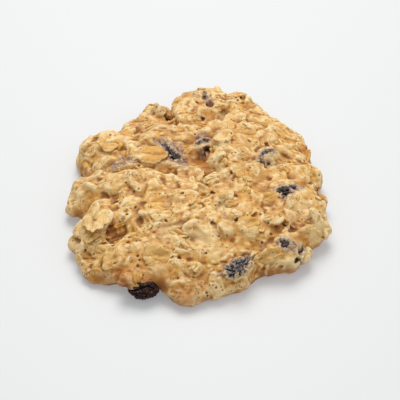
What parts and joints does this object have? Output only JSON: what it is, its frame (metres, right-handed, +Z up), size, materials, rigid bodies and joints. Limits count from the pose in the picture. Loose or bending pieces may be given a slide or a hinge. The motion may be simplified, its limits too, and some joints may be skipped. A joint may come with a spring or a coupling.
{
  "type": "oat and raisin cookie",
  "caption": "Thick hand-dropped oat cookie with a rough, folded top, rolled-oat flakes fused to the dough and dark raisins seated in it.",
  "frame": {"origin": "middle of the bounding box, on the underside that the cookie rests on", "axes": "+Z up through the cookie's thickness, +Y along its long way towards the back lobe, +X to the right of the notch side"},
  "size_m": [0.0892, 0.1105, 0.0172],
  "materials": {
    "baked_dough": "baked oat dough, dull with a faint buttery sheen",
    "oat_flake": "baked rolled oat, satin, paler than the dough",
    "raisin": "dark wrinkled dried fruit, moist sheen in places"
  },
  "bodies": {
    "root": {"dough": "baked_dough", "raisin_front": "raisin", "raisin_lower_right": "raisin", "raisin_right": "raisin", "raisin_upper_right": "raisin", "raisin_middle": "raisin", "raisin_upper_left": "raisin", "raisin_left": "raisin", "raisin_back": "raisin", "raisin_haunch": "raisin", "raisin_edge": "raisin"}
  },
  "joints": []
}
